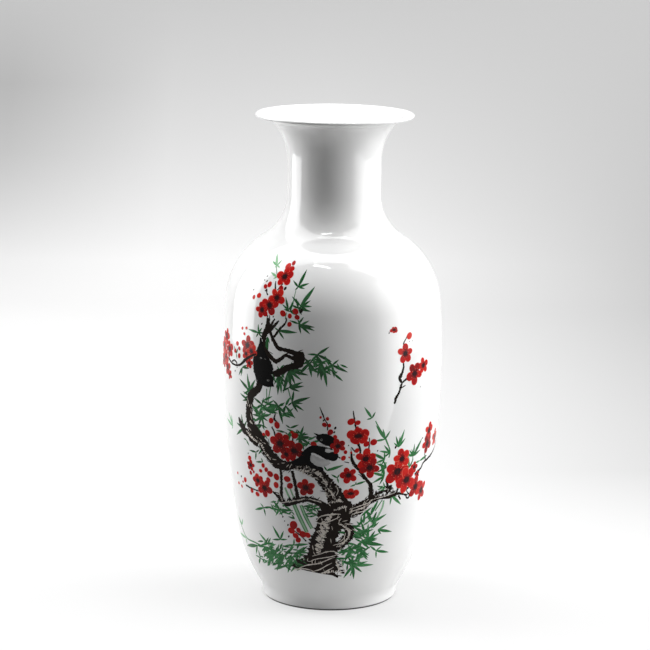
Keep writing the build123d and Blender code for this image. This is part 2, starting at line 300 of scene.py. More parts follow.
class Enamel:
    """One colour of the painting: thin closed sheets that lie on the glaze, each point with its tone."""

    def __init__(self, name):
        self.name = name
        self.places, self.faces, self.tones = [], [], []

    def sheet(self, rows, lift):
        """Lays a sheet of (turn, height, tone) points, its back sunk into the glaze."""
        first, wide, long = len(self.places), len(rows[0]), len(rows)
        for depth in (lift, -sunk):
            for row in rows:
                self.places += [on_glaze(turn, height, depth) for turn, height, _ in row]
                self.tones += [tone for _, _, tone in row]
        back = wide * long
        for i in range(long - 1):
            for j in range(wide - 1):
                a = first + i * wide + j
                corners = (a, a + 1, a + wide + 1, a + wide)
                self.faces.append(corners)
                self.faces.append([corner + back for corner in reversed(corners)])
        rim = [first + j for j in range(wide)]
        rim += [first + i * wide + wide - 1 for i in range(1, long)]
        rim += [first + (long - 1) * wide + j for j in range(wide - 2, -1, -1)]
        rim += [first + i * wide for i in range(long - 2, 0, -1)]
        for a, b in zip(rim, rim[1:] + rim[:1]):
            self.faces.append((b, a, a + back, b + back))

    def stroke(self, stations, lift, tone, edge_tone=None, ragged=0.0):
        """A brush stroke through (turn, height, width) stations, its edges frayed by the dry brush."""
        edge_tone = tone if edge_tone is None else edge_tone
        line = smooth_line(stations, frayed_spacing if ragged else plain_spacing)
        columns = 2 * max(1, math.ceil(max(width for _, _, width in line) / widest_column)) + 1
        rows = []
        for index, (turn, height, width) in enumerate(line):
            run = heading(line, index)
            fray = [width / 2 * (1 + ragged * dice.uniform(-1, 1)) for _ in range(2)]
            row = []
            for column in range(columns):
                share = 2 * column / (columns - 1) - 1
                aside = share * fray[share > 0]
                spot = beside(turn, height, aside * math.sin(run), -aside * math.cos(run))
                row.append((*spot, tone + (edge_tone - tone) * abs(share)))
            rows.append(row)
        self.sheet(rows, lift)

    def oval(self, turn, height, length, width, direction, lift, tone, edge_tone, blunt=0.0, root_tone=None):
        """A petal, bud or dot: an oval along a direction, fuller at its far end if blunt."""
        run = math.radians(direction)
        root_tone = tone if root_tone is None else root_tone
        long, wide = 9, 7
        tip_share, rim_power = 0.04, 8
        rows = []
        for i in range(long):
            share = -math.cos(math.pi * i / (long - 1))
            half = width / 2 * max(math.sqrt(max(1 - share**2, 0)), tip_share) * (1 + blunt * share)
            row = []
            for j in range(wide):
                side = 2 * j / (wide - 1) - 1
                along, aside = share * length / 2, side * half
                across = along * math.cos(run) + aside * math.sin(run)
                up = along * math.sin(run) - aside * math.cos(run)
                rim = max(share, abs(side), 0) ** rim_power
                shade = tone + (root_tone - tone) * max(-share, 0)
                row.append((*beside(turn, height, across, up), shade + (edge_tone - shade) * rim))
            rows.append(row)
        self.sheet(rows, lift)

    def finish(self, material, node):
        """Makes the colour one piece of the scene, in place of the node's plain patches."""
        mesh = bpy.data.meshes.new(self.name)
        mesh.from_pydata(self.places, [], self.faces)
        mesh.attributes.new("tone", "FLOAT", "POINT").data.foreach_set("value", self.tones)
        show_smooth(mesh)
        mesh.materials.append(material)
        piece = placed(self.name, mesh)
        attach(piece, "root")
        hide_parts(node)


def smooth_line(stations, spacing):
    """Points close together on a smooth curve through the stations."""
    ends = [stations[0]] + list(stations) + [stations[-1]]
    line = []
    for a, b, c, d in zip(ends, ends[1:], ends[2:], ends[3:]):
        girth = wall_at(b[1])[0]
        length = math.hypot(math.radians(c[0] - b[0]) * girth, c[1] - b[1])
        steps = max(2, math.ceil(length / spacing))
        for step in range(steps):
            t = step / steps
            line.append(tuple(
                q + t * (r - p) / 2
                + t**2 * (2 * p - 5 * q + 4 * r - s) / 2
                + t**3 * (3 * q - p - 3 * r + s) / 2
                for p, q, r, s in zip(a, b, c, d)
            ))
    line.append(stations[-1])
    return [(turn, height, max(width, finest_hair)) for turn, height, width in line]


def heading(line, index):
    """The direction of a line at one of its points, in radians from level."""
    before, after = line[max(index - 1, 0)], line[min(index + 1, len(line) - 1)]
    girth = wall_at(line[index][1])[0]
    return math.atan2(after[1] - before[1], math.radians(after[0] - before[0]) * girth)


def combined(operation, first, second):
    """Two values of a material put together."""
    return ingredient(first.id_data, "Math", {0: first, 1: second}, operation)


def fired(name, tones, drift_size, drift, roughness, shine):
    """An enamel: its tone picks the colour, and the colour drifts as brushed paint does."""
    brush_detail = 5
    material, tree, surface = bare_material(name)
    tone = ingredient(tree, "Attribute", {})
    tone.attribute_name = "tone"
    brushing = mottling(tree, drift_size, brush_detail)
    spread = ingredient(tree, "Math", {0: brushing, 1: drift, 2: -drift / 2}, "MULTIPLY_ADD")
    colours = tone_ramp(combined("ADD", tone.outputs["Fac"], spread), tones)
    feed(surface, {"Base Color": colours, "Roughness": roughness, "Specular IOR Level": shine})
    return material


dice = random.Random(8)
bamboo = Enamel("painted_bamboo")
# A leaf's width is a slim share of leaf_width, and one more leaf_width for each widening_length
leaf_width, leaf_stretch, slim_share, widening_length = 2.4, 1.15, 0.3, 20
leaf_lift, stalk_lift = 0.03, 0.02
leaf_tones, pale_leaf_tones, thicket_tones = (0.15, 0.4), (0.65, 0.8), (0.1, 0.45)
shortest_in_thicket = 0.5
# Leaves on the upper left are darker
dark_left_of, dark_above, extra_dark = 10, 130, 0.2
# Thickets of leaves: turn and height of the middle, reach across and up, number of leaves, the directions
# between which they point to either side, and the longest leaf
thickets = [
    (-31, 49, 19, 9, 72, -10, 75, 9),
    (-39, 43, 13, 6, 30, 5, 60, 9),
    (-24, 46, 12, 8, 16, 0, 100, 9),
    (16, 62, 9, 18, 46, -50, 50, 12),
    (13.5, 48.5, 7, 10, 16, 20, 110, 12),
    (22.5, 80, 7, 9, 18, 30, 100, 12),
    (-25.5, 200.5, 10, 6, 16, 50, 120, 11),
    (-30, 173.5, 14, 6, 22, -40, 60, 11),
    (-6.5, 212.5, 8, 5, 12, -80, 60, 11),
    (-40, 169.5, 6, 8, 14, -40, 70, 10),
    (-10.2, 92, 5, 4, 12, -60, 60, 9),
    (-30, 91, 6, 6, 14, -60, 70, 9),
    (-1.5, 210.5, 9, 5, 16, -80, 40, 10),
    (-16.5, 152.5, 9, 5, 16, -60, 80, 10),
    (-39, 143.5, 5, 9, 12, -60, 60, 9),
]
# Each spray: turn and height of its knot, then the direction and length of each leaf
sprays = [
    (-19.5, 272, (70, 12), (140, 6), (20, 8), (-10, 5), (-130, 3)),
    (-17, 258, (55, 16), (140, 9), (0, 8), (-30, 7), (45, 4)),
    (-23.5, 254, (110, 9), (55, 6), (145, 6)),
    (-17.5, 244, (55, 6), (-20, 12), (-75, 7), (165, 7), (-45, 5)),
    (-28.5, 237, (0, 14), (-50, 7), (-115, 4), (65, 4), (150, 4)),
    (-41, 233, (95, 6), (175, 10), (50, 5), (-40, 5), (-120, 4), (5, 5)),
    (-35, 231, (-95, 12), (-90, 14), (-65, 5), (-100, 5)),
    (-47, 184.5, (150, 13), (100, 12), (55, 11), (85, 7), (-150, 7)),
    (-48.5, 176.5, (160, 9), (-165, 6)),
    (-52.5, 202, (-125, 8), (-105, 7), (25, 6), (5, 8)),
    (-58.5, 211.5, (60, 5), (125, 6), (-70, 4)),
    (-27.5, 201.5, (-95, 14), (-120, 8), (-65, 9), (-45, 8)),
    (-22, 206.5, (-105, 17), (-85, 13), (-65, 11), (-35, 11), (-10, 14), (5, 11)),
    (-22, 192.5, (-150, 6), (25, 11), (10, 11), (-15, 8), (50, 4)),
    (-38, 175.5, (155, 9), (-145, 9), (-105, 7), (-40, 6), (-30, 11), (75, 5)),
    (-28, 176.5, (140, 6), (180, 10), (-125, 5), (-65, 5), (-45, 9), (30, 6), (-75, 13)),
    (-24, 177.5, (-50, 11), (55, 5), (-105, 7)),
    (-20.5, 180.5, (20, 14), (80, 9), (0, 8), (-30, 10), (-55, 8), (-140, 4)),
    (-38.5, 165.5, (155, 9), (180, 9), (-145, 9), (-115, 8), (-75, 8), (15, 7), (-25, 6), (80, 5)),
    (-38.5, 158.5, (-165, 9), (-140, 7), (-55, 4), (-20, 5)),
    (-21.5, 159.5, (150, 4), (25, 7)),
    (-53, 151.5, (-145, 12), (100, 10), (165, 9), (55, 8)),
    (-51, 142.5, (-50, 5), (170, 3)),
    (-43.5, 134.5, (-180, 7), (-100, 6), (35, 4)),
    (-39, 127.5, (-170, 7), (120, 3)),
    (-16.5, 152.5, (70, 9), (10, 7), (115, 6), (-30, 10), (-70, 10), (-95, 5), (45, 6)),
    (-24.5, 155.5, (175, 7), (-30, 3)),
    (-2, 126, (20, 12), (40, 3), (125, 4)),
    (3.5, 120, (150, 5), (60, 3), (-75, 4)),
    (21, 168.5, (125, 10), (60, 5), (-170, 4)),
    (13.5, 114, (15, 8), (80, 2), (-160, 4)),
    (29, 150, (125, 13), (55, 7), (-175, 8), (105, 8)),
    (29.5, 133, (150, 12), (-165, 8), (95, 6), (-120, 5)),
    (30, 119, (160, 11), (-155, 10), (100, 7), (110, 11), (-120, 7)),
    (38, 141.5, (70, 13), (110, 9), (45, 8), (140, 6), (85, 8)),
    (49.5, 131, (50, 15), (85, 9), (20, 9), (130, 7), (160, 10), (110, 6)),
    (47.5, 122, (110, 13), (60, 7), (150, 6)),
    (56.5, 125, (-175, 6), (10, 11), (10, 8)),
    (31, 108.5, (160, 7), (-150, 7), (110, 5)),
    (23.5, 87, (65, 12), (140, 5), (80, 6)),
    (17.5, 79, (135, 4), (-170, 4)),
    (25, 80, (25, 12), (120, 12), (135, 6), (50, 6)),
    (29, 73, (-15, 13), (20, 8), (-50, 5)),
    (20.5, 72, (150, 10), (-170, 7), (15, 7), (110, 9), (-50, 6)),
    (19, 64, (-15, 19), (150, 6), (-140, 5), (20, 15), (-40, 9)),
    (20, 55.5, (-125, 6), (-35, 7), (25, 7), (155, 7)),
    (29.5, 54.5, (-15, 12), (35, 5), (-80, 6), (140, 7)),
    (15, 43.5, (-5, 16), (155, 12), (-120, 12), (-80, 12), (-40, 10), (10, 11), (120, 9)),
    (8.5, 53.5, (115, 7), (180, 2), (70, 4)),
    (-31, 63, (120, 11), (-170, 7), (10, 6), (65, 8)),
    (-41, 57, (140, 10), (55, 6), (-155, 7)),
    (-51.5, 52, (-165, 18), (5, 8), (-120, 9)),
    (-51.5, 41, (175, 6), (-130, 8), (-30, 4), (90, 6)),
    (-22, 60, (85, 5), (-170, 7), (10, 11)),
    (-35.5, 52, (175, 13), (-155, 15), (-130, 19), (55, 5), (-135, 10)),
    (-29.5, 49, (-175, 14), (-145, 12), (-125, 17), (45, 12), (-60, 6)),
    (-23.5, 49, (-115, 15), (-70, 9), (15, 8), (45, 13), (-135, 11)),
    (-20, 53, (40, 10), (25, 8), (-10, 6), (-105, 8)),
    (-30.5, 39.5, (-155, 12), (-30, 6), (125, 5)),
    (-41, 88, (-160, 10), (-80, 6), (15, 8), (135, 4)),
    (-30, 89, (125, 8), (-125, 6), (-60, 5), (5, 11), (180, 9)),
    (-10, 93, (-155, 5), (10, 6), (90, 4), (-30, 4)),
    (-22, 89, (-145, 4), (-55, 3)),
    (-20.5, 83, (165, 5), (125, 4)),
    (-12, 86, (15, 5), (150, 3)),
    (-7.5, 220.5, (35, 10), (180, 7), (-130, 8), (-25, 11), (-95, 4)),
    (-11.5, 213.5, (135, 5), (-175, 5), (-130, 12), (-80, 10), (-50, 6), (40, 3)),
    (-6, 213.5, (115, 5), (90, 3), (-100, 10), (-85, 12), (-70, 9), (-140, 5), (25, 7)),
    (-4, 208.5, (-80, 12), (-110, 7), (-35, 6), (25, 4), (105, 4)),
    (0, 212.5, (40, 6), (-25, 12), (-80, 9), (-155, 4), (135, 5)),
    (1, 205.5, (-40, 8), (35, 3), (125, 3)),
    (36, 101, (-40, 13), (-95, 7), (-15, 5), (170, 3)),
    (29.5, 109, (110, 2), (-165, 4), (-55, 3)),
    (31, 126, (155, 9), (-160, 8), (120, 6)),
    (32.5, 138, (165, 9), (130, 8), (-150, 6)),
    (-18, 256, (35, 10), (110, 7), (-10, 9), (160, 6), (-60, 5)),
    (-16.5, 243, (30, 7), (-40, 9), (-5, 10), (120, 5)),
    (-22.5, 253, (80, 7), (20, 6), (-20, 6), (165, 5)),
    (-46.5, 180, (120, 9), (70, 8), (165, 8), (-160, 7), (-120, 6)),
]
# Sprays left pale by a thin wash
pale_sprays = [
    (-37, 285.5, (130, 9), (160, 6), (65, 4), (-20, 3), (-135, 2)),
    (-34, 277.5, (160, 7), (-155, 3)),
    (-64.5, 149.5, (165, 12), (125, 11), (100, 8), (-125, 3)),
    (-68, 64, (135, 8), (55, 7), (105, 3)),
    (-65, 54, (180, 14), (-100, 5), (-175, 5)),
]
# Stalks: strokes of (turn, height, width)
thick_stalks = [
    [(-20.5, 95.5, 3.2), (-17.5, 85, 3.5), (-13.5, 72.5, 3.0)],
    [(-16.5, 95.5, 2.7), (-14, 86, 3.0), (-10.5, 76, 2.6)],
    [(-25.5, 109, 1.5), (-24, 103.5, 1.5), (-22.5, 99.5, 1.5)],
    [(-22.5, 109, 1.2), (-21.5, 105, 1.2), (-20.5, 101.5, 1.2)],
    [(31, 98, 1.5), (30.5, 92, 1.5), (28, 84.5, 1.6), (26.5, 80.5, 1.4)],
    [(30.5, 130.5, 1.9), (29, 124.5, 2.3), (28.5, 119, 1.9)],
]
thin_stalks = [
    [(-32.5, 191.5, 0.8), (-33.5, 184, 0.8), (-34.5, 175.5, 0.9)],
    [(-35, 189, 0.8), (-35, 177, 0.9)],
    [(-22.5, 191.5, 0.8), (-21, 183, 0.9)],
    [(30, 98.5, 0.9), (27.5, 93.5, 1.0), (26, 90, 1.0)],
    [(23, 166, 0.8), (25.5, 159, 1.4), (28.5, 152.5, 1.6), (30, 148, 1.4), (32.5, 139.5, 1.1),
     (32, 134, 1.2)],
    [(49.5, 131.5, 0.9), (49.5, 126.5, 0.9)],
    [(-72, 69, 0.6), (-68.5, 61.5, 1.0), (-63.5, 54.5, 1.2), (-53.5, 54, 1.4), (-44.5, 52.5, 1.3),
     (-40.5, 50, 1)],
    [(-20.5, 269.5, 0.4), (-21, 263.5, 0.7), (-21.5, 257.5, 0.9), (-23, 254.5, 0.9)],
    [(-24.5, 252, 0.7), (-25, 246.5, 0.5)],
    [(-40, 290.5, 0.5), (-34, 278, 0.6)],
    [(19.5, 66.5, 1.1), (17.5, 54, 1.1), (15.5, 41.5, 1.1), (14, 33.5, 0.9)],
    [(11.5, 60, 0.7), (11.5, 53, 0.8), (13, 45.5, 0.7)],
]


def leaf(turn, height, direction, length, tone):
    """A leaf drawn in one stroke: the brush is pressed soon after the knot and lifted to a point."""
    run = math.radians(direction)
    press = ((0.0, 0.3), (0.25, 0.9), (0.5, 1.0), (0.8, 0.55), (1.0, 0.05))
    width = leaf_width * (slim_share + length / widening_length)
    stations = []
    for share, force in press:
        spot = beside(turn, height, share * length * math.cos(run), share * length * math.sin(run))
        stations.append((*spot, width * force))
    bamboo.stroke(stations, leaf_lift, tone)


for turn, height, *leaves in sprays:
    darker = extra_dark if turn < dark_left_of and height > dark_above else 0.0
    for direction, length in leaves:
        leaf(turn, height, direction, leaf_stretch * length, dice.uniform(*leaf_tones) - darker)
for turn, height, *leaves in pale_sprays:
    for direction, length in leaves:
        leaf(turn, height, direction, leaf_stretch * length, dice.uniform(*pale_leaf_tones))
for turn, height, across, up, count, low, high, longest in thickets:
    for _ in range(count):
        spot = beside(turn, height, across * dice.uniform(-1, 1), up * dice.uniform(-1, 1))
        direction = dice.uniform(low, high) + dice.choice((0, 180))
        length = longest * dice.uniform(shortest_in_thicket, 1)
        leaf(*spot, direction, length, dice.uniform(*thicket_tones))
for stations in thick_stalks:
    bamboo.stroke(stations, stalk_lift, tone=1.0, edge_tone=0.3)
for stations in thin_stalks:
    bamboo.stroke(stations, stalk_lift, tone=0.35)
green_tones = [
    (0.0, (0.01, 0.08, 0.02)),
    (0.3, (0.026, 0.18, 0.048)),
    (0.7, (0.18, 0.44, 0.21)),
    (1.0, (0.45, 0.66, 0.46)),
]
green_enamel = fired("green_enamel", green_tones, 3 * mm, drift=0.25, roughness=0.12, shine=0.18)
bamboo.finish(green_enamel, "bamboo_enamel")

# Plum tree: trunk, boughs and twigs brushed in black-brown enamel with a half-dry brush, and cream strokes
# over them for the light on the bark. It is fired on with the other colours.
bark = Enamel("painted_bark")
bark_lift, cream_lift, hair_lift, line_lift, front_lift = 0.045, 0.062, 0.072, 0.08, 0.15
bark_tone, hair_tone, cream_tone = 0.12, 0.1, 0.95
# Boughs wider than thick_width have hairs over them too, and the pale ones stay below lit_below
thick_width, lit_below = 8, 180
# Strokes of (turn, height, width)
boughs = [
    [(-8.5, 36.5, 40), (-8, 39.5, 36), (-6.5, 43.5, 31), (-5, 50.5, 25.5), (-4.5, 60, 22),
     (-3, 69.5, 20.5), (-1, 77.5, 20), (1.5, 85, 25), (4.5, 91.5, 22.5), (4.5, 98.5, 17.5),
     (2, 106.5, 13), (-1, 113, 11), (-4.5, 119.5, 10), (-9, 125, 9.5), (-14, 128.5, 8.5),
     (-18.5, 129.5, 7)],
    [(3.5, 83, 4.5), (8, 80, 6), (11, 76, 7), (11, 70.5, 8.4), (8.5, 65.5, 7.6), (5.5, 61.5, 6.4),
     (2.5, 60, 4)],
    [(-13, 127.5, 6.6), (-19, 129, 6.6), (-24.5, 127.5, 8.0), (-30.5, 130, 10.2), (-35, 136.5, 10.4),
     (-39, 145, 10.1), (-44.5, 152.5, 10.2), (-47, 159, 8.6), (-47.5, 166, 8.2), (-47, 174, 7.5),
     (-45.5, 181.5, 7.3), (-41.5, 186.5, 6.4), (-39.5, 191, 6.2), (-38.5, 195.5, 5.6)],
]
perch_boughs = [
    [(-37.5, 234, 3.2), (-37, 227.5, 3.1), (-37, 222.5, 3.3), (-35, 218.5, 3.8), (-32, 214.5, 3.5),
     (-29.5, 212.5, 3.4), (-26.5, 215, 3.0), (-24, 218, 2.3), (-20.5, 216.5, 3.1), (-17, 216, 4.2)],
    [(-37.5, 228, 4.4), (-37, 232, 4.9), (-35.5, 236.5, 4.9), (-35, 241, 3.8), (-35, 246, 3.1)],
    [(-34, 236.5, 2.5), (-32, 231, 2.7), (-30, 226, 3.2), (-28, 223, 3.3), (-25, 222.5, 2.9),
     (-21.5, 221.5, 3.9), (-18, 220, 4.6), (-15, 220.5, 3.6)],
    [(-16, 221.5, 3.7), (-15.5, 218, 5.0), (-16.5, 213, 6.6), (-19, 210.5, 6.1)],
    [(-17.5, 211, 5.6), (-22, 209, 4.5), (-25.5, 205.5, 5.1), (-28.5, 203, 5.6), (-31, 202, 4.1)],
]
side_boughs = [
    [(-57, 159.5, 1.4), (-55, 155, 5.2), (-52.5, 151, 6.2), (-49, 148, 5.6), (-45.5, 144, 5.0),
     (-42, 140.5, 3.2)],
    [(0, 93, 6.5), (-5.5, 98, 4.5), (-11, 100.5, 4.3), (-15.5, 100.5, 4.6), (-20, 97.5, 4.0),
     (-24, 95.5, 4.0), (-26.5, 94.5, 3.0)],
    [(10, 90, 8.5), (15, 92.5, 9.5), (19, 96.5, 8.0), (22.5, 99.5, 5.0), (26, 101.5, 4.0)],
    [(22.5, 100, 5.2), (22.5, 106, 3.7), (22, 112.5, 3.3), (19.5, 117.5, 2.3), (17, 122.5, 2.5),
     (14.5, 127.5, 1.7), (12, 132.5, 1.9), (11, 137, 1.2), (10.5, 141, 0.8)],
    [(24, 99, 2.6), (28, 100.5, 2.7), (31.5, 100.5, 2.9), (34.5, 100.5, 2.8), (38, 101.5, 2.6),
     (41.5, 101.5, 1.9), (45, 100, 1.3), (47.5, 99, 1.0)],
]
twigs = [
    [(-31, 231.5, 2.0), (-29, 236, 1.6), (-26.5, 240.5, 1.6), (-24.5, 244.5, 1.3), (-24.5, 248, 0.8)],
    [(-35.5, 235, 3.5), (-33, 241, 2.4), (-31, 246, 1.1)],
    [(-35, 234.5, 2.8), (-31.5, 240, 2.6), (-28.5, 245, 1.1)],
    [(-32.5, 267.5, 1.2), (-33.5, 271, 1.4), (-34, 274.5, 0.6)],
    [(-31.5, 268, 1.2), (-29, 273.5, 0.9)],
    [(-37, 263.5, 1.1), (-38, 265, 1.0), (-38.5, 267.5, 1.4), (-39.5, 266, 0.8)],
    [(-27, 94.5, 3.2), (-28, 103, 2.9), (-27.5, 111.5, 2.5), (-27.5, 120.5, 2.2), (-28, 124.5, 2)],
    [(-18, 101, 3.3), (-19, 109, 2.8), (-20, 117.5, 2.6), (-21, 124, 2.8)],
    [(-26, 95.5, 2.8), (-30, 100, 2.4), (-33.5, 104, 1.6)],
    [(23.5, 101.5, 4.2), (27, 104.5, 2.8), (31, 106, 2.0), (33.5, 104, 2.6)],
    [(39, 102, 2.5), (40, 107, 2.0), (38.5, 113.5, 1.4)],
    [(42, 101, 2.2), (45, 103, 2.3), (48, 104.5, 2.3), (51, 107.5, 2.4), (54, 110.5, 2.0)],
    [(41, 100, 1.7), (43, 96, 1.1)],
    [(47, 98.5, 1.5), (48, 96, 1.2), (50, 96, 1.8), (50, 98, 1.3), (48, 101, 1.0), (47, 102.5, 0.8)],
    [(33, 105, 2.4), (32.5, 110.5, 2.1), (31.5, 115, 1.7), (31.5, 118, 1.1)],
    [(31, 110, 1.0), (33, 108, 0.8), (35.5, 109, 1.2)],
    [(53, 114, 2.4), (55, 116, 2.2), (58.5, 118, 2.0), (61, 122, 1.9), (67.5, 124, 2.4), (72, 125.5, 2.2),
     (78, 129, 2.0), (83, 133, 1.2)],
    [(63, 123, 1.6), (62, 127, 1.4), (61, 131, 0.8)],
    [(15.5, 138.5, 1.9), (15, 144.5, 1.9), (14, 148.5, 2.1)],
    [(20, 140.5, 1.6), (20, 145, 1.1), (20, 152.5, 0.8)],
    [(10.5, 145.5, 0.8), (12.5, 141.5, 1.2)],
    [(13, 159, 1.2), (12.5, 162, 1.3), (11.5, 170, 1.3), (11, 175.5, 0.7)],
    [(-2, 159.5, 1.0), (-2, 164.5, 0.9), (-3.5, 168.5, 0.9), (-4.5, 172.5, 1.1), (-6, 178.5, 0.4)],
    [(12, 131, 1.9), (10.5, 136, 1.1), (10.5, 140.5, 0.7)],
    [(7, 133.5, 0.7), (9.5, 132.5, 0.8)],
    [(3, 138, 0.7), (5, 136.5, 1.1)],
    [(34, 179, 1.6), (34.5, 182.5, 2.5), (36.5, 187.5, 1.9), (37.5, 192, 2.2), (38, 194.5, 1.8),
     (36.5, 198, 2.9), (37.5, 201, 2.7), (38.5, 204, 2.1), (39, 208.5, 1.8), (38.5, 211.5, 1.8),
     (37.5, 213.5, 0.8)],
    [(37, 190, 1.2), (40.5, 192, 0.6)],
    [(38, 194.5, 1.1), (41, 197, 1.8), (42.5, 199, 0.9)],
    [(39, 222, 0.8), (39, 226.5, 1.4), (40.5, 229.5, 0.8), (41.5, 232, 0.6)],
    [(-14, 64.5, 1.1), (-17, 68.5, 1.2), (-21, 72.5, 1.0)],
    [(-55, 103, 1.5), (-49.5, 102, 1.4), (-44, 101.5, 1.2)],
    [(-30, 147, 1.1), (-30.5, 153.5, 1.4), (-32, 158, 1.0)],
    [(-28, 162, 0.9), (-30.5, 165, 1.8), (-30, 169, 0.9)],
    [(-20.5, 147, 1.4), (-20, 152, 1.4)],
]
# Twigs that pass in front of the blossom
front_twigs = [
    [(-67.5, 205.5, 1.4), (-63.5, 202.5, 1.6), (-58.5, 202, 1.5), (-54, 204, 1.9), (-49.5, 209.5, 2.4),
     (-44.5, 214, 1.8), (-42, 215.5, 1.2)],
    [(-63, 203.5, 1.2), (-60.5, 205.5, 1.2), (-58, 204.5, 1.3), (-57.5, 202, 1.2)],
]
# Specks: turn, height and radius. Their length and width are shares of it, and they lean by some degrees
speck_length, speck_width, speck_lean = 2.6, 1.7, 60
specks = [
    (-41, 277, 0.5), (-42, 274, 0.5), (-40, 273.5, 0.7), (-48, 265.5, 0.5), (-27, 270, 1.2),
    (-16.5, 254, 1.5), (-39, 240.5, 0.7), (-32, 247.5, 0.6), (-59.5, 197, 0.7), (-57.5, 200.5, 0.6),
    (-30, 169, 0.7), (-32, 158, 0.7), (-45.5, 113.5, 0.9), (-50, 131.5, 0.6), (-59, 109, 0.8),
    (-4, 167.5, 0.7), (2, 161.5, 1.0), (1.5, 158, 0.8), (9, 147, 0.5), (25, 141, 0.6), (34, 179.5, 1.2),
    (36, 142, 1.1), (57, 144, 0.6), (-28, 83.5, 0.7), (-27, 80, 0.5), (-25, 77, 0.8), (-25, 67, 0.8),
    (30, 236, 0.6), (43, 227, 0.4), (45, 227, 0.4), (56, 207.5, 0.7), (52, 188, 0.4),
]
cream_strokes = [
    [(1.5, 90, 1.5), (-0.5, 85, 3.5), (-2.5, 79.5, 6.2), (-4.5, 73, 6.6), (-5.5, 66.5, 5.8),
     (-6.5, 59, 5), (-7, 54.5, 2.4)],
    [(4.5, 81.5, 0.8), (8.5, 78, 1.4), (11, 74, 1.7), (10.5, 68, 2), (7.5, 63, 2), (4, 60.5, 1)],
    [(-4.5, 120.5, 1.5), (-1.5, 114, 3), (0.5, 107.5, 3), (2.5, 102, 2.1)],
    [(-1.5, 98.5, 1.5), (4, 101, 2.5), (7, 99.5, 1.5)],
    [(2, 92.5, 1.5), (5.5, 94.5, 2.2), (9.5, 96, 1.5)],
    [(4, 47.5, 1), (6.5, 41, 1.4), (8, 36, 1)],
    [(-5.5, 36, 1), (2, 38.5, 2.1), (6, 37.5, 1)],
    [(-19, 126.5, 1.4), (-12.5, 128, 2.7), (-8, 125, 3.3), (-4, 120, 2.1)],
    [(-28.5, 95.5, 0.8), (-18, 99.5, 1), (-12.5, 101.5, 1), (-5, 99, 0.8)],
    [(12, 87.5, 0.8), (17, 92.5, 1.4), (21.5, 96.5, 1.4), (24, 100, 1), (31.5, 101.5, 0.8), (38, 103, 0.5)],
    [(-50.5, 150.5, 0.7), (-47.5, 148, 2.6), (-44.5, 145, 1.8), (-41.5, 143.5, 2), (-39, 141, 2.1),
     (-37.5, 137, 1.7), (-35.5, 134, 1.4), (-33.5, 130.5, 0.7)],
    [(-20, 125.5, 0.9), (-17.5, 126, 2.7), (-14.5, 125, 3.8), (-11.5, 123, 4.1), (-10, 120.5, 1.8)],
    [(-5, 116, 0.6), (-3, 118.5, 1.8), (-1, 116.5, 1.1), (-2, 113, 1), (-2.5, 109.5, 1.5),
     (-1.5, 105.5, 1.8), (1.5, 106.5, 0.8), (2.5, 108.5, 0.5)],
    [(0.5, 116.5, 0.5), (0, 114, 0.8), (0.5, 111.5, 0.5)],
    [(-27.5, 96, 0.6), (-28.5, 100.5, 1.4), (-29.5, 104, 0.5)],
    [(-23.5, 96.5, 0.5), (-21.5, 98.5, 1), (-19, 99, 0.5)],
    [(31, 108, 0.5), (33.5, 107.5, 1.2), (35, 106, 0.5)],
    [(33.5, 110.5, 0.5), (33.5, 107.5, 1.3), (33, 105, 0.5)],
    [(25, 102.5, 1.4), (27, 103.5, 1.7), (28, 104, 0.5)],
]
# Fine pale lines over the bark: round its knots, along its roots and round the hollow
pale_lines = [
    [(-7.8, 82.4, 0.3), (-5.3, 86.9, 0.8), (1.1, 88.9, 1.2), (6, 89, 0.3)],
    [(5.5, 86.9, 0.3), (-0.4, 82.8, 0.9), (-5.3, 80.8, 0.8), (-7.6, 82, 0.4)],
    [(-13.5, 49.6, 0.3), (-13.9, 47.2, 0.6), (-12.3, 46.7, 0.5), (-9.1, 49, 0.7), (-3.6, 50.7, 0.8),
     (2.5, 52.5, 0.7), (4.5, 54.5, 0.6), (2.4, 56.6, 0.8), (-2, 56.1, 0.7), (-6.3, 53.7, 0.6),
     (-10.7, 51.8, 0.4)],
    [(-25.5, 36.5, 0.3), (-18, 39.3, 1.0), (-12.3, 38.7, 0.6), (-9.5, 36.6, 0.3)],
    [(-20.6, 39.1, 0.3), (-14.3, 43.1, 0.9), (-6.5, 45.5, 0.9), (-0.5, 49.5, 0.7), (3.4, 51.5, 0.2)],
    [(-5.5, 36, 0.6), (-2, 38.2, 1.3), (2.6, 42.3, 0.3)],
    [(-12, 37, 0.3), (-6, 40, 0.9), (-1.5, 44, 0.7), (1.7, 46.1, 0.2)],
    [(3.5, 62.5, 0.5), (8, 64.5, 1.0), (11, 69.2, 0.7), (11.6, 74.1, 0.8), (10, 77, 0.4), (8.5, 75, 0.3)],
    [(5, 64.5, 0.3), (8, 67.7, 0.6), (9, 72.6, 0.5)],
    [(-1.7, 111.4, 0.4), (0.4, 107.4, 1.0), (1.5, 102.5, 0.5)],
    [(2.9, 113.9, 0.3), (4.1, 108.9, 0.7), (3.1, 105, 0.4)],
    [(12, 93.5, 0.3), (17.1, 95.6, 0.8), (21.5, 97.5, 0.7), (22.5, 100, 0.3)],
    [(12.2, 88.9, 0.4), (18.1, 90.5, 0.9), (21.7, 93.5, 0.3)],
    [(10.5, 90.5, 0.3), (14.9, 92.4, 0.8), (19.8, 94.7, 0.3)],
    [(7, 49.5, 0.3), (8, 43.5, 0.7), (10, 37.5, 0.3)],
    [(4, 49, 0.3), (5, 43.5, 0.8), (6.2, 38.9, 0.3)],
]


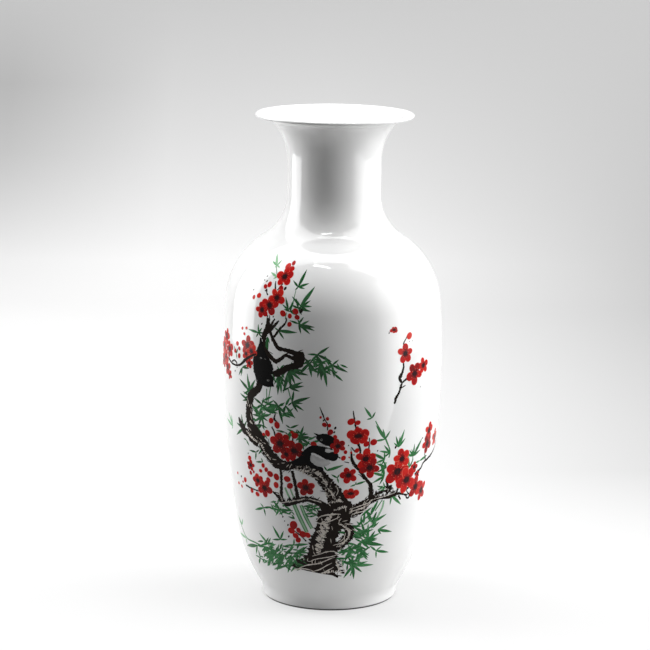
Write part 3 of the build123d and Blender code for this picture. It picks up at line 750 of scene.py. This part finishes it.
def hairs(stations, each, reach, tone, lift, longest, slant):
    """Hairs of the dry brush along a stroke, so many for each station, within a share of its width."""
    root_width, middle_width = 0.2, 0.7
    sway, shortest_share = 0.4, 0.4
    line = smooth_line(stations, frayed_spacing)
    for _ in range(each * len(stations)):
        index = dice.randrange(1, len(line) - 1)
        turn, height, width = line[index]
        run = heading(line, index)
        aside = dice.uniform(-reach, reach) * width
        spot = beside(turn, height, aside * math.sin(run), -aside * math.cos(run))
        run += slant + dice.uniform(-sway, sway)
        length = longest * dice.uniform(shortest_share, 1)
        tip = beside(*spot, length * math.cos(run), length * math.sin(run))
        middle = [(a + b) / 2 for a, b in zip(spot, tip)]
        bark.stroke([(*spot, root_width), (*middle, middle_width), (*tip, root_width)], lift, tone)


for stations in boughs + perch_boughs + side_boughs:
    bark.stroke(stations, bark_lift, bark_tone, ragged=0.16)
    hairs(stations, 5, reach=0.55, tone=hair_tone, lift=bark_lift, longest=5, slant=0)
thick_boughs = []
for stations in boughs + side_boughs:
    if max(width for _, _, width in stations) > thick_width:
        thick_boughs.append(stations)
for stations in thick_boughs:
    lit_part = [station for station in stations if station[1] < lit_below]
    hairs(lit_part, 3, reach=0.4, tone=0.85, lift=cream_lift, longest=5, slant=0.4)
for stations in twigs:
    bark.stroke(stations, bark_lift, bark_tone, ragged=0.3)
for stations in front_twigs:
    bark.stroke(stations, front_lift, bark_tone, ragged=0.2)
for turn, height, radius in specks:
    length, width = speck_length * radius, speck_width * radius
    bark.oval(turn, height, length, width, speck_lean, bark_lift, hair_tone, hair_tone)
for stations in cream_strokes:
    bark.stroke(stations, cream_lift, cream_tone, edge_tone=0.9, ragged=0.5)
    hairs(stations, 8, reach=0.6, tone=bark_tone, lift=hair_lift, longest=4, slant=1.2)
for stations in thick_boughs:
    hairs(stations, 2, reach=0.45, tone=hair_tone, lift=hair_lift, longest=5, slant=0.4)
for stations in pale_lines:
    bark.stroke(stations, line_lift, cream_tone, edge_tone=0.85, ragged=0.45)
bark_tones = [
    (0.0, (0.006, 0.0035, 0.002)),
    (0.35, (0.022, 0.012, 0.007)),
    (0.6, (0.3, 0.22, 0.15)),
    (1.0, (0.8, 0.76, 0.7)),
]
bark_enamel = fired("bark_enamel", bark_tones, 2 * mm, drift=0.2, roughness=0.12, shine=0.07)
bark.finish(bark_enamel, "bark_enamel")

# Plum blossom: five-petalled flowers and round buds in red enamel, with dark middles and fine stamens.
# Those at the sides of the vase are washed thinner, so they come out pink.
blossom = Enamel("painted_blossom")
petal_lift, petal_step, flower_step, heart_lift = 0.085, 0.003, 0.015, 0.135
# Parts of a flower as shares of its radius, the widths of a stamen, and the shares of a bud's radius
petal_reach, petal_length, petal_width, petal_blunt = 0.58, 1.02, 0.79, 0.12
heart_length, heart_width, stamen_reach, stamen_head = 0.6, 0.54, 0.48, 0.09
stamen_root, stamen_tip = 0.3, 0.4
bud_length, bud_width = 2.1, 1.8
# Tones: a petal's root, how much paler its edge is, the heart and its edge, a stamen and its head
petal_root, paler_edge, heart_tone, heart_edge, stamen_tone, head_tone = 0.1, 0.26, 0.0, 0.08, 0.05, 0.74
# Flowers: turn, height, radius and spin of the first petal
flowers = [
    (-29, 278.5, 6.9, 20), (-31, 262.5, 6.9, 50), (-35, 256, 7.4, 10), (-39.5, 251.5, 6.1, 40),
    (-24, 137.5, 5.6, 0), (-27.5, 145.5, 8.6, 15), (-19.5, 141, 8.0, 45),
    (-48.5, 122, 4.5, 10), (-43.5, 110.5, 5.8, 30),
    (-39, 105.5, 7.3, 60), (-13.5, 111, 6.9, 25), (3.5, 146.5, 5.8, 40), (18.5, 135, 8.2, 20),
    (21, 127.5, 8.2, 55), (9.5, 122, 6.6, 35), (41, 131, 8.4, 30), (38.5, 121, 11.2, 5),
    (46, 112, 10.4, 45), (51.5, 121, 4.5, 10), (55.5, 114, 2.9, 40), (40, 218, 7.4, 20), (47, 200, 8.6, 55),
    (54, 205, 6.2, 30), (-47, 207, 4.2, 15), (-71, 222, 6.5, 10), (-66, 213, 6.5, 30), (64, 148, 6.8, 10),
    (63, 137.5, 7.6, 50),
]
# Flowers seen from the side, which look flatter
side_flowers = [(14, 154.5, 10.0, 25), (11, 106.5, 6.6, 10), (33, 238, 3.8, 40)]
pale_flowers = [
    (-48.5, 221, 7.4, 20), (-45.5, 217, 6, 50), (-49.5, 214, 5, 0), (-75, 213, 7, 25), (-72, 205, 6.5, 50),
    (-69, 197, 6, 20), (-66, 192, 4, 40), (-76, 201, 6, 5), (55, 103.5, 8.5, 15), (62.5, 98, 8.2, 35),
    (75, 139, 7.0, 20),
]
# Buds: turn, height and radius
buds = [
    (-57.5, 220, 2.1), (-55.5, 216.5, 1.7), (-59.5, 213.5, 1.9), (-55.5, 210.5, 2.1), (-26, 288.5, 1.7),
    (-26, 284.5, 2.2), (-37.5, 271.5, 2.2), (-40, 269.5, 1.9), (-29.5, 270, 2.0), (-26.5, 251, 2.6),
    (-22.5, 249.5, 1.9), (-19.5, 253.5, 2.5), (-18.5, 249, 2.1), (-22.5, 243, 2.0), (-32.5, 163.5, 2.4),
    (-29, 160.5, 2.8), (-35, 152.5, 2.7), (-37.5, 151, 1.5), (-24, 151.5, 2.6), (-19, 153.5, 2.7),
    (-20.5, 156, 1.5), (-5.5, 170, 1.1), (-2, 169, 1.5), (-3.5, 164, 2.0), (-1, 163.5, 1.5),
    (-0.5, 158, 2.4), (2, 154, 1.8), (-9, 147.5, 2.5), (-49, 128, 2.1), (-49, 115.5, 1.7),
    (-46.5, 117, 1.2), (-39, 124.5, 1.9), (-41, 119.5, 1.7), (-37, 121.5, 2.0), (-34.5, 118.5, 2.8),
    (-30.5, 117, 2.8), (-36, 113, 2.3), (-31, 110, 2.6), (-24, 116.5, 2.8), (-22.5, 111, 2.7),
    (-55, 107.5, 2.2), (-57.5, 105, 1.0), (-49.5, 100, 2.0), (-45, 98.5, 2.2), (7.5, 141.5, 1.6),
    (6.5, 136.5, 2.1), (13.5, 142.5, 2.0), (13.5, 161.5, 1.2), (10, 166.5, 2.9), (13.5, 165.5, 2.2),
    (18.5, 147.5, 2.5), (22.5, 148.5, 2.9), (10.5, 141, 1.0), (9.5, 137, 0.7), (12, 139, 0.6),
    (-21.5, 77.5, 3.6), (-23, 72.5, 2.9), (-18.5, 73.5, 2.2), (-20.5, 68.5, 2.5), (-16, 70.5, 2.9),
    (-13, 70, 2.4), (-19, 65, 2.4),
]
pale_buds = [
    (-29, 286, 2.4), (-43, 262, 2.2), (-46.5, 260, 1.7), (-53.5, 233.5, 1.4), (-50, 234.5, 1.4),
    (-51.5, 229.5, 1.4), (-70, 223.5, 1.6), (-63, 102, 1.4), (-59.5, 100.5, 1.4), (-63, 110.5, 1.2),
    (43, 231.5, 3.0),
]


def flower(turn, height, radius, spin, tone, layer, flat):
    """Five petals about a dark heart with stamens, flattened where the flower is seen from the side."""
    petals, stamens = 5, 9
    petal_sway, stamen_sway, shade_sway = 9, 10, 0.1
    for petal in range(petals):
        direction = spin + 360 * petal / petals + dice.uniform(-petal_sway, petal_sway)
        run = math.radians(direction)
        reach = petal_reach * radius * dice.uniform(0.94, 1.06)
        spot = beside(turn, height, reach * math.cos(run), flat * reach * math.sin(run))
        shade = tone + dice.uniform(-shade_sway, shade_sway)
        edge = shade + paler_edge
        lift = petal_lift + layer + petal_step * petal
        length = petal_length * radius * flat ** abs(math.sin(run))
        width = petal_width * radius * dice.uniform(0.85, 1.1)
        blossom.oval(*spot, length, width, direction, lift, shade, edge, petal_blunt, petal_root)
    length, width = heart_length * radius, heart_width * radius * flat
    blossom.oval(turn, height, length, width, 0, heart_lift, heart_tone, heart_edge)
    head = stamen_head * radius
    for stamen in range(stamens):
        direction = spin + 360 * stamen / stamens + dice.uniform(-stamen_sway, stamen_sway)
        run = math.radians(direction)
        reach = stamen_reach * radius * dice.uniform(0.85, 1.15)
        spot = beside(turn, height, reach * math.cos(run), flat * reach * math.sin(run))
        blossom.stroke([(turn, height, stamen_root), (*spot, stamen_tip)], heart_lift, stamen_tone)
        blossom.oval(*spot, head, head, 0, heart_lift, head_tone, head_tone)


# Each group of flowers with its range of tones, the extra lift of every other flower, and its flatness
flower_groups = [
    (flowers, (0.33, 0.49), flower_step, 1.0),
    (side_flowers, (0.36, 0.48), 0.0, 0.62),
    (pale_flowers, (0.42, 0.58), flower_step, 1.0),
]
for places, tones, step, flat in flower_groups:
    for index, place in enumerate(places):
        flower(*place, dice.uniform(*tones), step * (index % 2), flat)
# Each group of buds with its range of tones and how much paler the edge is
for places, tones, paler in ((buds, (0.38, 0.55), 0.08), (pale_buds, (0.6, 0.72), 0.06)):
    for turn, height, radius in places:
        shade = dice.uniform(*tones)
        length, width = bud_length * radius, bud_width * radius
        direction = dice.uniform(0, 180)
        blossom.oval(turn, height, length, width, direction, petal_lift, shade, shade + paler)
red_tones = [
    (0.0, (0.02, 0.004, 0.006)),
    (0.2, (0.14, 0.004, 0.006)),
    (0.45, (0.48, 0.005, 0.004)),
    (0.65, (0.62, 0.02, 0.012)),
    (0.8, (0.64, 0.13, 0.08)),
    (1.0, (0.78, 0.4, 0.36)),
]
red_enamel = fired("red_enamel", red_tones, 4 * mm, drift=0.1, roughness=0.14, shine=0.09)
blossom.finish(red_enamel, "blossom_enamel")

# Magpies: one head down among the upper boughs and one perched on the bough below, in black enamel, with
# their bellies, wing patches and flecks in white enamel. Both colours are fired on with the rest.
magpie = Enamel("painted_magpies")
magpie_white = Enamel("painted_magpie_whites")
feather_lift, white_lift, eye_lift = 0.1, 0.12, 0.14
feathers = [
    [(-39.5, 229.5, 0.8), (-39, 225, 3.5), (-39, 220, 7.8), (-39, 215, 13.6), (-38.5, 210, 18.3),
     (-37.5, 205, 20.2), (-37, 199.5, 18.1), (-36, 196.5, 13.1), (-34, 193.5, 6.7), (-32, 192.5, 2.3),
     (-30.5, 192, 0.5)],
    [(-38, 201, 5), (-35, 198.5, 9), (-33, 196, 8.5), (-32, 194, 4), (-30.7, 191.7, 0.6)],
    [(-7.5, 154, 3), (-5, 153, 7.5), (-2, 151.5, 9.6), (0, 149.5, 8), (1.5, 146.5, 3)],
    [(-6, 154.5, 2.3), (-9, 157, 0.3)],
    [(-6, 153.5, 1.9), (-9, 154, 0.3)],
    [(-15.5, 138.5, 1.2), (-12.5, 141.5, 4.5), (-9, 143.5, 6.2), (-4.5, 142, 8.4), (-0.5, 139.5, 10),
     (2.4, 137.3, 7), (3.5, 136.5, 3)],
    [(-12, 139, 4.8), (-11.5, 135, 6.9), (-10.5, 131, 5.4), (-8, 128.5, 3.0), (-5, 127.5, 2.7),
     (-4.5, 125.5, 1.9)],
    [(-11.5, 141.5, 4.5), (-13.5, 136.5, 6.7), (-16.5, 132.5, 6.2), (-21, 130, 4.0)],
    [(-2.5, 150.5, 6.2), (-0.5, 147.5, 3.1), (0.5, 144.5, 1.5)],
]
white_feathers = [
    [(-6.5, 146.5, 0.7), (-5, 147.5, 1.6), (-2.5, 146, 1.0)],
    [(-3, 143, 2.2), (-1.2, 142.7, 3.6), (0, 142.5, 1.8), (1.4, 142.8, 2)],
    [(-9.6, 138.7, 2.5), (-9, 135.6, 6), (-6.6, 133, 7), (-3.5, 132.5, 6), (-0.5, 133.5, 3)],
]
# Flecks and the ring of an eye, in a thinner wash
thin_whites = [
    [(-44.7, 214.4, 0.5), (-44, 214, 0.9), (-43.4, 213.9, 0.4)],
    [(-39.4, 213.4, 0.6), (-38.6, 213.2, 1.3), (-38, 212.8, 0.5)],
    [(-36.4, 213, 0.5), (-35.4, 212.6, 0.6)],
    [(-34.7, 196.1, 0.8), (-34, 196, 1.8), (-33.3, 195.9, 0.8)],
    [(-5.5, 152, 1.4), (-5, 151.5, 2.3), (-4.5, 151, 1.2)],
]
eyes = [(-4.9, 151.7), (-34, 196)]
eye_size, eye_tone = 0.9, 0.1
for stations in feathers:
    magpie.stroke(stations, feather_lift, tone=0.2, edge_tone=0.1, ragged=0.05)
for stations in white_feathers:
    magpie_white.stroke(stations, white_lift, tone=0.8, edge_tone=0.6, ragged=0.1)
for stations in thin_whites:
    magpie_white.stroke(stations, white_lift, tone=0.1, edge_tone=0.0)
for turn, height in eyes:
    magpie.oval(turn, height, eye_size, eye_size, 0, eye_lift, eye_tone, eye_tone)
black_tones = [(0.0, (0.001, 0.001, 0.001)), (1.0, (0.013, 0.012, 0.012))]
black_enamel = fired("black_enamel", black_tones, 3 * mm, drift=0.3, roughness=0.18, shine=0.06)
magpie.finish(black_enamel, "magpie_enamel")
white_tones = [(0.0, (0.16, 0.16, 0.15)), (0.5, (0.48, 0.48, 0.48)), (1.0, (0.82, 0.82, 0.81))]
white_enamel = fired("white_enamel", white_tones, 3 * mm, drift=0.3, roughness=0.18, shine=0.22)
magpie_white.finish(white_enamel, "magpie_white_enamel")

# Floor and backdrop: one white sweep of paper, flat under the vase and curving up far behind it. The eye
# and the glaze see it pale, but the light that it throws back is that of dull paper, dullest in front.
sweep_half_width, sweep_front, sweep_bend, sweep_curve, sweep_top = 4.0, -0.28, 1.2, 0.8, 3.0
bend_steps = 24
sweep_line = [(sweep_front, 0.0)]
for step in range(bend_steps + 1):
    angle = math.pi / 2 * step / bend_steps
    sweep_line.append((sweep_bend + sweep_curve * math.sin(angle), sweep_curve * (1 - math.cos(angle))))
sweep_line.append((sweep_bend + sweep_curve, sweep_top))
sweep_places = [(side * sweep_half_width, y, z) for y, z in sweep_line for side in (-1, 1)]
sweep_faces = [(2 * i, 2 * i + 1, 2 * i + 3, 2 * i + 2) for i in range(len(sweep_line) - 1)]
sweep_mesh = bpy.data.meshes.new("paper_sweep")
sweep_mesh.from_pydata(sweep_places, [], sweep_faces)
sweep_mesh.polygons.foreach_set("use_smooth", [True] * len(sweep_mesh.polygons))
sweep = placed("paper_sweep", sweep_mesh)

paper, paper_tree, paper_surface = bare_material("paper")
paper_tree.nodes.remove(paper_surface)
paper_place = ingredient(paper_tree, "TexCoord", {}).outputs["Object"]
paper_sides = ingredient(paper_tree, "SeparateXYZ", {"Vector": paper_place})


def seen_rays(tree):
    """1 for rays from an eye, a gloss or a glass, which all meet the pale room, and 0 for the others."""
    rays = ingredient(tree, "LightPath", {}).outputs
    polish = combined("MAXIMUM", rays["Is Glossy Ray"], rays["Is Transmission Ray"])
    return combined("MAXIMUM", rays["Is Camera Ray"], polish)


# Painted shade darkens the paper far behind, and in a stretch to the left and another to the right. Places
# are in m.
across, back = paper_sides.outputs["X"], paper_sides.outputs["Y"]
far_shade = slide(back, 1.4, 1.9, 0.0, 0.4)
left_stretch = combined("MINIMUM", slide(back, 1.1, 1.65, 0.0, 0.2), slide(back, 1.76, 1.875, 0.2, 0.0))
left_shade = combined("MULTIPLY", slide(across, -0.48, -0.24, 1.0, 0.0), left_stretch)
right_stretch = combined("MINIMUM", slide(back, 0.0, 0.4, 0.0, 0.85), slide(back, 1.4, 1.87, 0.85, 0.0))
right_shade = combined("MULTIPLY", slide(across, 0.0, 0.5, 0.0, 0.5), right_stretch)
shade = combined("ADD", far_shade, combined("ADD", left_shade, right_shade))
paper_tone = tone_ramp(shade, [(0.0, (0.86, 0.86, 0.86)), (1.0, (0, 0, 0))])
# Painted light: the paper glows for the eye, more strongly further back
glow_share = 0.65
glow_strength = slide(back, 0.0, 1.3, 1.0, 1.28)
dull_tone = slide(back, -0.24, -0.1, 0.05, 0.52)
lit_paper = ingredient(paper_tree, "BsdfDiffuse", {"Color": paper_tone})
glow = ingredient(paper_tree, "Emission", {"Color": paper_tone, "Strength": glow_strength})
seen_paper = ingredient(paper_tree, "MixShader", {0: glow_share, 1: lit_paper, 2: glow})
dull_paper = ingredient(paper_tree, "BsdfDiffuse", {"Color": dull_tone})
by_eye = ingredient(paper_tree, "MixShader", {0: seen_rays(paper_tree), 1: dull_paper, 2: seen_paper})
feed(paper_tree.nodes["Material Output"], {"Surface": by_eye})
sweep_mesh.materials.append(paper)

# Studio light: a tall soft box on the right, a narrower one on the left, three that meet overhead, a small
# strip lamp high in front, and a dim room, which leaves the vase's front grey. The eye sees the room pale.
room_strength, pale_colour = 0.01, (0.8, 0.8, 0.8, 1)


def soft_box(name, place, aim, width, height, power):
    """A rectangular lamp that faces a point."""
    lamp = bpy.data.lights.new(name, "AREA")
    lamp.shape = "RECTANGLE"
    lamp.size, lamp.size_y = width, height
    lamp.energy = power
    facing = (Vector(aim) - Vector(place)).to_track_quat("-Z", "Y").to_matrix().to_4x4()
    placed(name, lamp).matrix_world = Matrix.Translation(place) @ facing
    return lamp


right_box = soft_box("right_box", (1.27, -0.1, 0.43), (0.03, 0.074, 0.41), 1.955, 1.86, power=33)
soft_box("left_box", (-1.16, 0.32, 0.68), (0, 0, 0.66), 0.8, 1.36, power=16)
soft_box("high_right_box", (0.71, 0.0, 1.57), (0.02, -0.12, 0.3), 1.25, 1.0, power=12.5)
soft_box("high_left_box", (-0.69, 0.18, 1.57), (0, 0, 0.3), 1.0, 1.0, power=11.6)
soft_box("top_box", (0.0, 0.05, 1.7), (0, 0.05, 0.2), 0.8, 0.9, power=10.6)
soft_box("strip_lamp", (-0.22, -0.485, 1.51), (-0.006, -0.046, 0.309), 0.34, 0.07, power=1.2)
# The right box's cloth is dim at its front edge and grows brighter over about a third of its width
edge_width, edge_strength, cloth_strength = 0.35, 0.2, 1.28
right_box.use_nodes = True
cloth = right_box.node_tree
cloth_place = ingredient(cloth, "NewGeometry", {}).outputs["Parametric"]
cloth_width = ingredient(cloth, "SeparateXYZ", {"Vector": cloth_place}).outputs["X"]
brightness = slide(cloth_width, 0.0, edge_width, edge_strength, cloth_strength)
feed(cloth.nodes["Emission"], {"Strength": brightness})

world = bpy.data.worlds.new("room")
world.use_nodes = True
room = world.node_tree
dim_room = feed(room.nodes["Background"], {"Color": (1, 1, 1, 1), "Strength": room_strength})
pale_room = ingredient(room, "Background", {"Color": pale_colour})
room_by_eye = ingredient(room, "MixShader", {0: seen_rays(room), 1: dim_room, 2: pale_room})
feed(room.nodes["World Output"], {"Surface": room_by_eye})
bpy.context.scene.world = world
bpy.context.scene.view_settings.view_transform = "Standard"

# Camera: two metres in front of the vase, at the eyes of a person who stands by the table. It looks a little
# down and is rolled by a hair.
camera_distance, camera_height, camera_aside = 2.0, 0.6387, -0.006
camera_pitch, camera_roll = 11.662, 0.7
picture_width, focal_pixels = 650, 2500
camera_data = bpy.data.cameras.new("camera")
camera_data.sensor_width = 36
camera_data.lens = camera_data.sensor_width * focal_pixels / picture_width
camera = placed("camera", camera_data)
camera.matrix_world = (
    Matrix.Translation((camera_aside, -camera_distance, camera_height))
    @ Matrix.Rotation(math.radians(90 - camera_pitch), 4, "X")
    @ Matrix.Rotation(math.radians(camera_roll), 4, "Z")
)
bpy.context.scene.camera = camera
